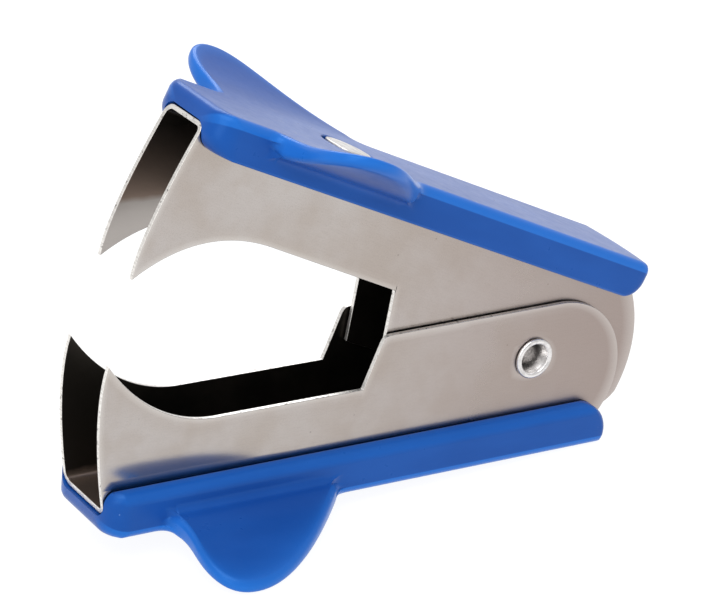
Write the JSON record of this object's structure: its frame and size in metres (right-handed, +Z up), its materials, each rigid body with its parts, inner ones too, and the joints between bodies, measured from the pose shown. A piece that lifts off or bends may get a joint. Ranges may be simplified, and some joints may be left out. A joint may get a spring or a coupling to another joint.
{
  "type": "staple remover",
  "caption": "Claw staple remover: two sprung steel jaws with pointed fangs turn on a hollow rivet, each with a blue plastic grip that has two finger ears.",
  "frame": {"origin": "centre of the footprint, on the plane that the lower grip's two ears and rear end rest on", "axes": "-X towards the fangs, +X towards the hinge and tail, Y across the jaws along the hinge axis, +Z up"},
  "size_m": [0.0626, 0.0318, 0.0436],
  "materials": {
    "jaw_steel": "bright nickel plate on bent sheet",
    "pivot_steel": "bright nickel plate",
    "spring_steel": "drawn wire",
    "grip_plastic": "glossy blue moulding",
    "rivet_steel": "flat dull head"
  },
  "bodies": {
    "lower_body": {"lower_jaw": "jaw_steel", "lower_grip": "grip_plastic", "lower_grip_rivet": "rivet_steel", "pivot_rivet": "pivot_steel", "torsion_spring": "spring_steel"},
    "upper_body": {"upper_jaw": "jaw_steel", "upper_grip": "grip_plastic", "upper_grip_rivet": "rivet_steel"}
  },
  "joints": [
    {"name": "jaw_hinge", "type": "hinge", "parent": "lower_body", "child": "upper_body", "pos_m": [0.01791, 0, 0.01085], "axis": [0, -1, 0], "range_deg": [0, 25], "stiffness_Nm_per_rad": 0.3, "springref_deg": -28.65, "deforming": ["torsion_spring"]}
  ]
}
